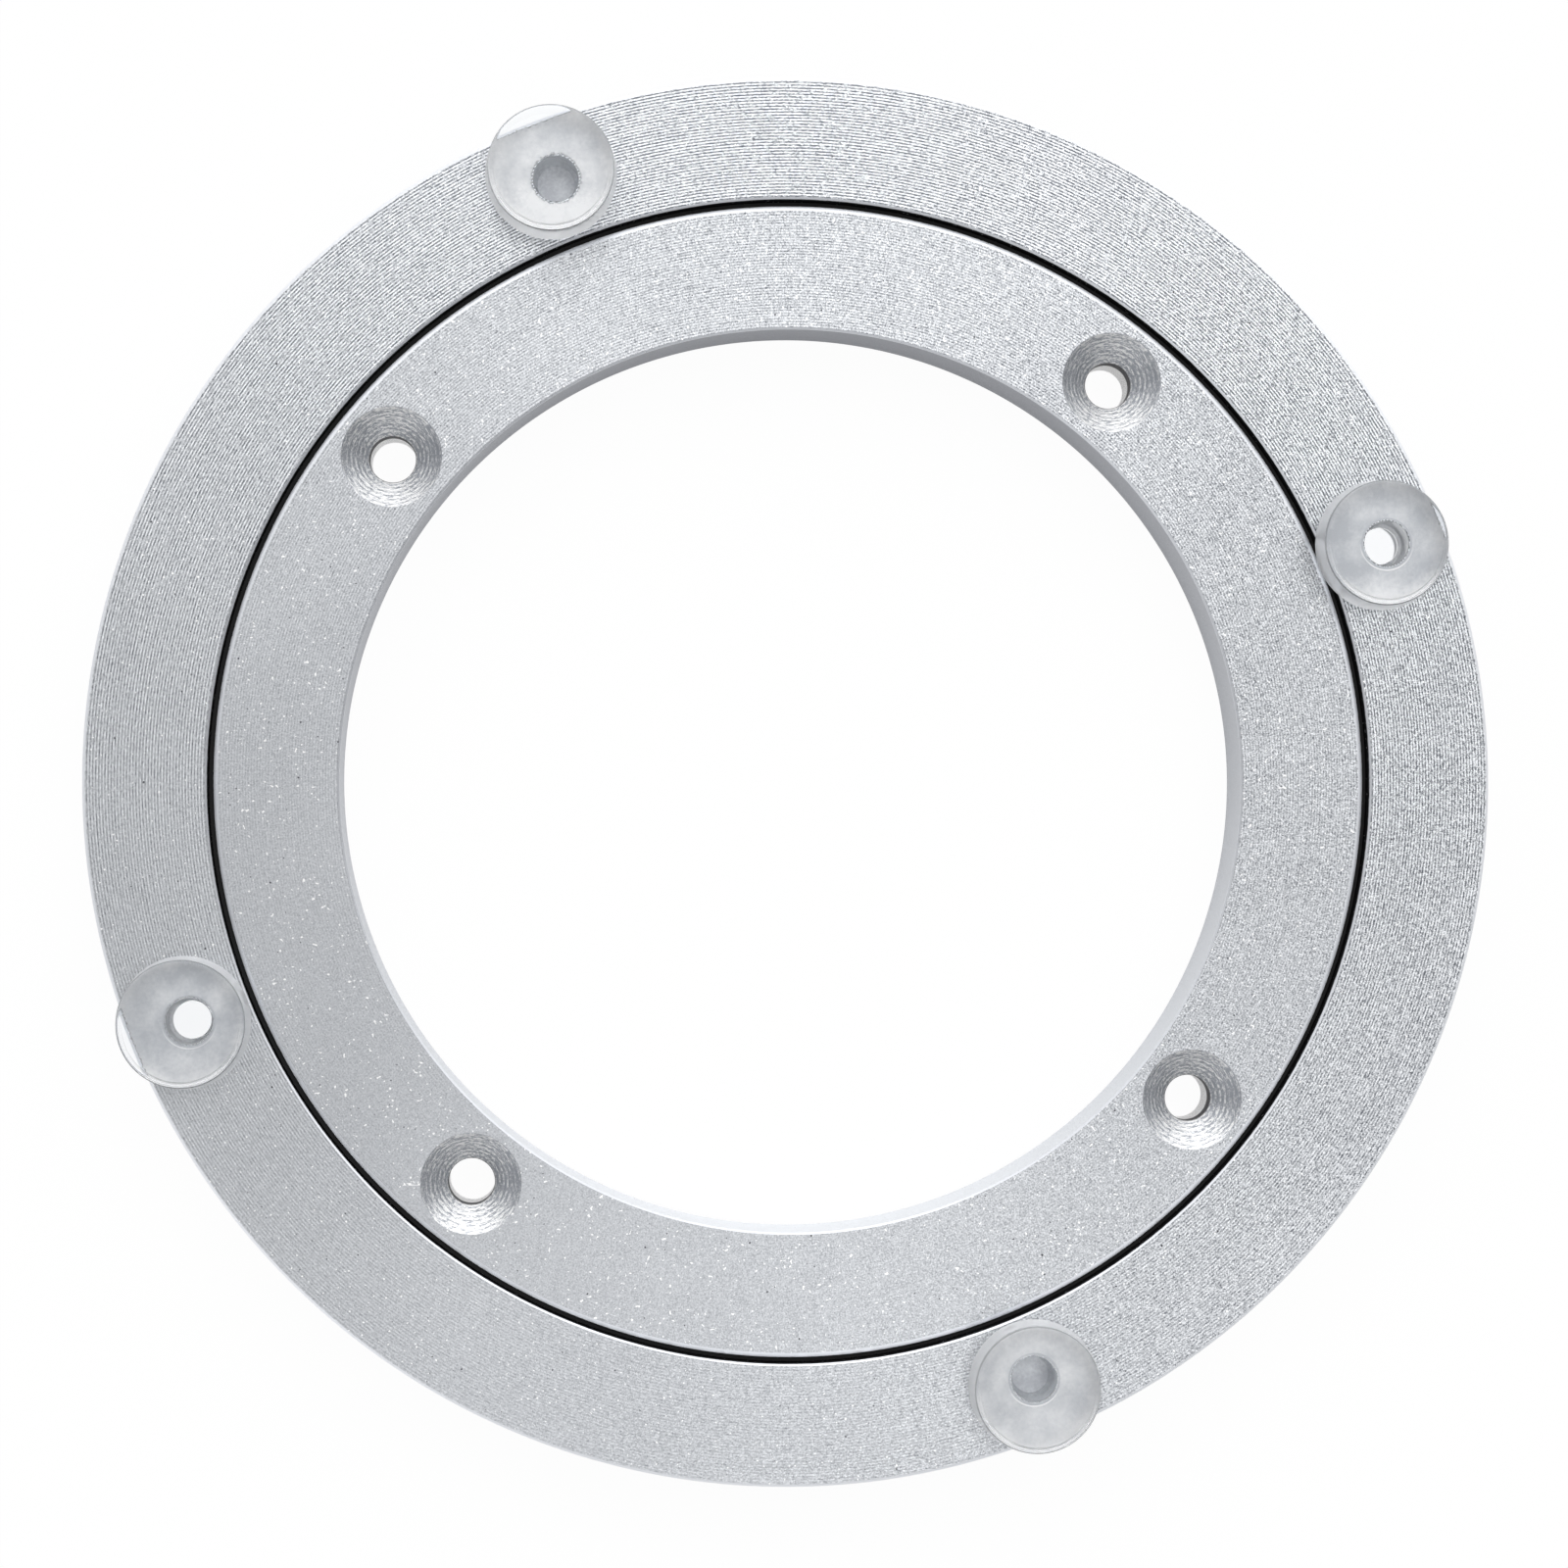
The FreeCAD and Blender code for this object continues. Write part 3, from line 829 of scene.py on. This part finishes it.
def black_nylon():
    """Moulded black nylon with a fine grain."""
    f = Finish("black_nylon")
    grain = f.noise(f.place, 3500.0, 3.0)
    colour = f.mix(grain, (0.006, 0.006, 0.006, 1), (0.02, 0.02, 0.021, 1))
    return f.finish({
        "Base Color": colour, "Roughness": 0.5 + grain * 0.2, "Normal": f.bump(grain, 0.004 * MM),
        "Specular IOR Level": 0.2,
    })


def polished_steel():
    """Ball steel with a faint track where it has rolled."""
    f = Finish("polished_steel")
    wear = f.noise(f.place, 2500.0, 4.0)
    track = (f.z - RACE_Z * MM).abs().falls(0.1, 0.5)
    colour = f.mix(wear, (0.66, 0.67, 0.69, 1), (0.80, 0.81, 0.83, 1))
    return f.finish({
        "Base Color": colour, "Metallic": 1.0, "Roughness": 0.08 + track * 0.06 + wear * 0.05,
        "Normal": f.bump(wear, 0.0006 * MM),
    })


def plain_steel():
    """Plug steel, dull and slightly mottled."""
    f = Finish("plain_steel")
    mottle = f.noise(f.place, 1400.0, 3.0)
    fine = f.noise(f.place, 7000.0, 2.0)
    colour = f.mix(mottle, (0.30, 0.31, 0.33, 1), (0.48, 0.49, 0.50, 1))
    return f.finish({
        "Base Color": colour, "Metallic": 1.0, "Roughness": 0.3 + mottle * 0.15,
        "Normal": f.bump(fine, 0.002 * MM),
    })


OUTER_METAL = turned_aluminium("outer_aluminium", Face(
    pitch=OUTER_PITCH, inside=OUTER_R + SLOT_EDGE, outside=RIM_R - EDGE, top=OUTER_TOP, painted_shade_below=8.25,
    line_share=0.60, grain_length=0.30, grain_share=1.00, painted_light_swing=0.50, edge_colour=OUTER_EDGE_COLOUR,
))
INNER_METAL = turned_aluminium("inner_aluminium", Face(
    pitch=INNER_PITCH, inside=BORE_R + BORE_EDGE, outside=INNER_R - INNER_EDGE, top=INNER_TOP, painted_shade_below=7.4,
    line_share=0.20, grain_length=0.20, grain_share=0.72, painted_light_swing=0.45, edge_colour=INNER_EDGE_COLOUR,
))
DRILLED_METAL = drilled_aluminium()
SINK_METAL = countersunk_aluminium()
# Each pad gets its own level of painted light on the metal under it
PAD_LOOKS = [
    PadLook(stem_side=0.8, stem_end=0.0, base=0.10, glow=0.60, painted_light_start=2.0, frayed=0.0, reach=69.65),
    PadLook(stem_side=0.95, stem_end=0.95, base=0.40, glow=0.50, painted_light_start=0.3, frayed=1.0, reach=69.65),
    PadLook(stem_side=0.8, stem_end=0.0, base=0.10, glow=0.50, painted_light_start=2.0, frayed=0.4, reach=69.65),
    PadLook(stem_side=0.95, stem_end=0.95, base=0.36, glow=0.12, painted_light_start=1.5, frayed=0.0, reach=72.0),
]
CLEAR = [clear_polymer(number, look) for number, look in enumerate(PAD_LOOKS)]
NYLON = black_nylon()
BALL_STEEL = polished_steel()
PLUG_STEEL = plain_steel()


# Pieces

def make_outer_ring():
    ring = turn_section("outer_ring_turned", outer_section(), OUTER_METAL)
    deep = pad_drill("through_drill", -1.0)
    blind = pad_drill("blind_drill", OUTER_TOP - PAD_HOLE_DEPTH)
    drill(ring, deep, 2, PAD_CIRCLE, PORT_ANGLE - 45, DRILLED_METAL)
    drill(ring, blind, 2, PAD_CIRCLE, PORT_ANGLE + 45, DRILLED_METAL)
    port = port_drill()
    drill(ring, port, 1, 0.0, PORT_ANGLE, DRILLED_METAL)
    ring = settle("outer_ring_turned", ring)
    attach(ring, "turning_ring")
    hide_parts("outer_ring")
    return [deep, blind, port]


def make_inner_ring():
    ring = turn_section("inner_ring_turned", inner_section(), INNER_METAL)
    tool = countersink_tool()
    drill(ring, tool, 4, SCREW_CIRCLE, SCREW_FIRST, SINK_METAL)
    ring = settle("inner_ring_turned", ring)
    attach(ring, "fixed_ring")
    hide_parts("inner_ring")
    return [tool]


def pad_section():
    """The pad from the end of its stem round to the middle of its top."""
    base = OUTER_TOP + PAD_LIFT
    top = OUTER_TOP + PAD_HEIGHT
    stem_end = OUTER_TOP - STEM_LENGTH
    points = [(0.0, stem_end), (STEM_R - STEM_TAPER, stem_end), (STEM_R, stem_end + STEM_TAPER)]
    points += [(STEM_R, base - STEM_FILLET), (STEM_R + STEM_FILLET, base)]
    points += [(PAD_BASE_R - PAD_FOOT, base), (PAD_BASE_R, base + PAD_FOOT)]
    lean = (PAD_BASE_R - PAD_TOP_R) / PAD_HEIGHT
    points.append((PAD_BASE_R - lean * (PAD_HEIGHT - PAD_ROUND), top - PAD_ROUND))
    out = PAD_TOP_R + 0.06 - PAD_ROUND
    for step in range(1, 9):
        angle = math.radians(90 * step / 8)
        points.append((out + PAD_ROUND * math.cos(angle), top - PAD_ROUND + PAD_ROUND * math.sin(angle)))
    return points + [(3.0, top), (0.0, top)]


def is_soft(spot):
    """True on the body of a pad, which can creep, and False on its stem."""
    flange = spot.z > (OUTER_TOP + 0.01) * MM and spot.xy.length > SOFT_FROM_R * MM
    return flange or spot.z > (OUTER_TOP + 0.1) * MM


def make_pads():
    for number, material in enumerate(CLEAR):
        name = f"bumper_pad_{number + 1}"
        pad = settle(f"clear_pad_{number + 1}", turn_section(name + "_soft", pad_section(), material, 96))
        slip = Vector((*pad_slip(number), 0)) * MM
        for vertex in pad.data.vertices:
            if is_soft(vertex.co):
                vertex.co += slip
        pad.data.transform(Matrix.Translation(Vector((*pad_centre(number), 0)) * MM))
        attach(pad, "turning_ring")
        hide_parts(name)


def thread_points():
    """The outline of a threaded plug along its own axis."""
    turns = int((PLUG_END - PLUG_START - 1.0) / THREAD_PITCH)
    points = [(0.0, PLUG_START), (PLUG_R - 0.5, PLUG_START), (PLUG_R - THREAD_DEPTH, PLUG_START + 0.3)]
    for turn in range(turns):
        level = PLUG_START + 0.45 + turn * THREAD_PITCH
        for part, out in ((0.0, -THREAD_DEPTH), (0.42, 0.0), (0.54, 0.0), (0.96, -THREAD_DEPTH)):
            points.append((PLUG_R + out, level + part * THREAD_PITCH))
    return points + [(PLUG_R - 0.2, PLUG_END - 0.2), (PLUG_R - 0.35, PLUG_END), (0.0, PLUG_END)]


def hexagon_prism(name, flats, low, high):
    """A six-sided key tool along the upright axis."""
    reach = flats / 2 / math.cos(math.radians(30)) * MM
    turns = [math.radians(60 * n) for n in range(6)]
    corners = [(reach * math.cos(turn), reach * math.sin(turn)) for turn in turns]
    spots = [(x, y, low * MM) for x, y in corners] + [(x, y, high * MM) for x, y in corners]
    faces = [tuple(range(5, -1, -1)), tuple(range(6, 12))]
    faces += [(n, (n + 1) % 6, (n + 1) % 6 + 6, n + 6) for n in range(6)]
    mesh = bpy.data.meshes.new(name)
    mesh.from_pydata(spots, [], faces)
    return new_object(name, mesh)


def make_plug():
    plug = turn_section("threaded_plug", thread_points(), PLUG_STEEL, 48)
    key = hexagon_prism("key_tool", SOCKET_FLATS, PLUG_END - SOCKET_DEPTH, PLUG_END + 1)
    drill(plug, key, 1, 0.0, 0.0, PLUG_STEEL)
    plug = settle("threaded_plug", plug)
    lay = Matrix.Rotation(math.radians(PORT_ANGLE), 4, "Z")
    lay = lay @ Matrix.Translation((0, 0, RACE_Z * MM)) @ Matrix.Rotation(math.radians(90), 4, "Y")
    plug.data.transform(lay)
    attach(plug, "turning_ring")
    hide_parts("loading_plug")
    return [key]


def paint(node, material):
    node.data.materials.clear()
    node.data.materials.append(material)


tools = make_outer_ring() + make_inner_ring() + make_plug()
make_pads()
for name, node in frame["nodes"].items():
    if name.startswith("ball_"):
        paint(node, NYLON if name == "ball_cage" else BALL_STEEL)
sections = [thing for thing in bpy.data.objects if thing.name.endswith("_section")]
for thing in tools + sections:
    bpy.data.objects.remove(thing)


# Floor, light and camera

FLOOR_REACH = 1.5
FLOOR_LEVEL = -0.00002
FLOOR_WHITE = 0.96
FLOOR_MIRRORED = 0.35


def seen_straight(tree, mirrored=0.0):
    """1 for what the camera sees straight or through clear polymer, and a share for what metal mirrors."""
    ray = tree.add("ShaderNodeLightPath", None, None, "Is Camera Ray")
    matt = ray.other("Diffuse Depth")
    depth = matt + (0.0 if mirrored else ray.other("Glossy Depth"))
    through = ray.other("Is Transmission Ray") * (1 - depth.least(1.0))
    return ray.most(through).most(ray.other("Is Glossy Ray") * mirrored)


def make_floor():
    """A plain white floor that shows white and keeps a faint shadow."""
    mesh = bpy.data.meshes.new("floor")
    ways = (-1, -1), (1, -1), (1, 1), (-1, 1)
    corners = [(x * FLOOR_REACH, y * FLOOR_REACH, FLOOR_LEVEL) for x, y in ways]
    mesh.from_pydata(corners, [], [(0, 1, 2, 3)])
    floor = new_object("floor", mesh)
    f = Finish("white_floor")
    seen = seen_straight(f, FLOOR_MIRRORED)
    plain = f.add("ShaderNodeBsdfDiffuse", None, {"Color": (0.9, 0.9, 0.9, 1)})
    glow = f.add("ShaderNodeEmission", None, {"Color": (1, 1, 1, 1), "Strength": 1.0})
    lit = f.add("ShaderNodeMixShader", None, {0: seen * FLOOR_WHITE, 1: plain, 2: glow})
    clear = f.add("ShaderNodeBsdfTransparent")
    behind = f.add("ShaderNodeNewGeometry", None, None, "Backfacing")
    both = f.add("ShaderNodeMixShader", None, {0: behind, 1: lit, 2: clear})
    f.add("ShaderNodeOutputMaterial", None, {"Surface": both})
    mesh.materials.append(f.material)


# The studio's light: angle in the photo, height in degrees, tightness, strength
GLOWS = [
    (45, 8, 14, 1.09),
    (90, 8, 14, 0.94),
    (225, 8, 14, 0.95),
    (270, 8, 14, 0.32),
    (45, 35, 14, 0.95),
    (90, 35, 14, 2.49),
    (135, 35, 14, 1.66),
    (180, 35, 14, 0.37),
    (0, 62, 16, 0.17),
    (45, 62, 16, 1.19),
    (90, 62, 16, 0.70),
    (135, 62, 16, 0.35),
    (270, 62, 16, 1.02),
    (315, 62, 16, 0.85),
]
AMBIENT = 0.20


def make_world():
    """A soft studio: white to the camera, and graded light from every side."""
    world = bpy.data.worlds.new("studio")
    world.use_nodes = True
    bpy.context.scene.world = world
    tree = Tree(world.node_tree)
    tree.nodes.clear()
    way = tree.add("ShaderNodeTexCoord", None, None, "Generated")
    level = AMBIENT
    for photo_angle, height, tightness, strength in GLOWS:
        sockets = {0: way, 1: studio_way(photo_angle, height)}
        facing = tree.add("ShaderNodeVectorMath", {"operation": "DOT_PRODUCT"}, sockets, "Value")
        level = facing.most(0.0) ** tightness * strength + level
    seen = seen_straight(tree)
    shown = seen + (1 - seen) * level
    light = tree.add("ShaderNodeBackground", None, {"Color": (1, 1, 1, 1), "Strength": shown})
    tree.add("ShaderNodeOutputWorld", None, {"Surface": light})


def make_camera():
    data = bpy.data.cameras.new("camera")
    data.sensor_width = SENSOR
    data.lens = SENSOR / 2 / math.tan(math.radians(IMAGE_FOV / 2))
    data.clip_start = 0.01
    data.clip_end = 10
    camera = bpy.data.objects.new("camera", data)
    spot = Vector(CAMERA_SPOT) * MM
    back = (spot - Vector(CAMERA_AIM) * MM).normalized()
    turn = math.radians(IMAGE_UP)
    right = Vector((math.cos(turn), math.sin(turn), 0)).cross(back).normalized()
    up = back.cross(right)
    camera.matrix_world = Matrix.Translation(spot) @ Matrix((right, up, back)).transposed().to_4x4()
    bpy.context.scene.collection.objects.link(camera)
    bpy.context.scene.camera = camera


make_floor()
make_world()
make_camera()
bpy.context.scene.view_settings.view_transform = "Standard"
